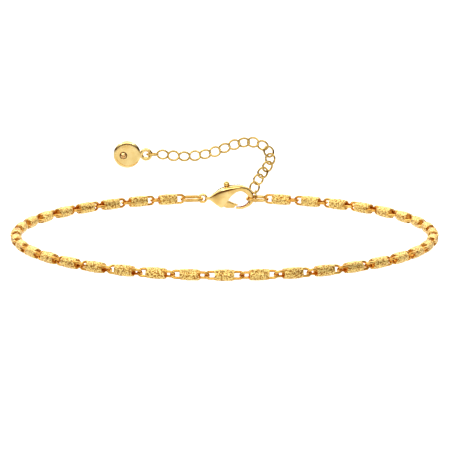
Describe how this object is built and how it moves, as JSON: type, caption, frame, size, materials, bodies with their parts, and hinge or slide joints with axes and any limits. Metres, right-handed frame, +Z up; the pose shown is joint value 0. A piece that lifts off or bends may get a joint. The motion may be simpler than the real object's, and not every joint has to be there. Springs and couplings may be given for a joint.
{
  "type": "chain anklet",
  "caption": "Gold chain anklet of textured barrel links with a lobster clasp, a fine extension chain and a round tag.",
  "frame": {"origin": "middle of the loop, at the height of its centreline, where the ankle goes through", "axes": "+Z up through the loop, +Y towards the clasp, +X along the chain at the clasp"},
  "size_m": [0.0746, 0.0756, 0.0133],
  "materials": {
    "textured_gold": "frosted and hammered gold plate",
    "polished_gold": "polished gold plate",
    "clear_stone": "clear cut stone"
  },
  "bodies": {
    "anklet": {"link_01": "textured_gold", "link_02": "textured_gold", "link_03": "textured_gold", "link_04": "textured_gold", "link_05": "textured_gold", "link_06": "textured_gold", "link_07": "textured_gold", "link_08": "textured_gold", "link_09": "textured_gold", "link_10": "textured_gold", "link_11": "textured_gold", "link_12": "textured_gold", "link_13": "textured_gold", "link_14": "textured_gold", "link_15": "textured_gold", "link_16": "textured_gold", "link_17": "textured_gold", "link_18": "textured_gold", "link_19": "textured_gold", "link_20": "textured_gold", "link_21": "textured_gold", "link_22": "textured_gold", "link_23": "textured_gold", "link_24": "textured_gold", "link_25": "textured_gold", "link_26": "textured_gold", "link_27": "textured_gold", "link_28": "textured_gold", "link_29": "textured_gold", "link_30": "textured_gold", "link_31": "textured_gold", "link_32": "textured_gold", "link_33": "textured_gold", "link_34": "textured_gold", "link_35": "textured_gold", "link_36": "textured_gold", "link_37": "textured_gold", "end_link_left": "polished_gold", "end_link_right": "polished_gold", "clasp_body": "polished_gold", "extension_chain": "polished_gold", "tag": "polished_gold", "tag_stone": "clear_stone"},
    "lever": {"clasp_lever": "polished_gold"}
  },
  "joints": [
    {"name": "lever_pivot", "type": "hinge", "parent": "anklet", "child": "lever", "pos_m": [-0.00062, 0.03612, -0.00021], "axis": [0, -1, 0], "range_deg": [0, 22], "stiffness_Nm_per_rad": 0.001, "springref_deg": -17.19}
  ]
}
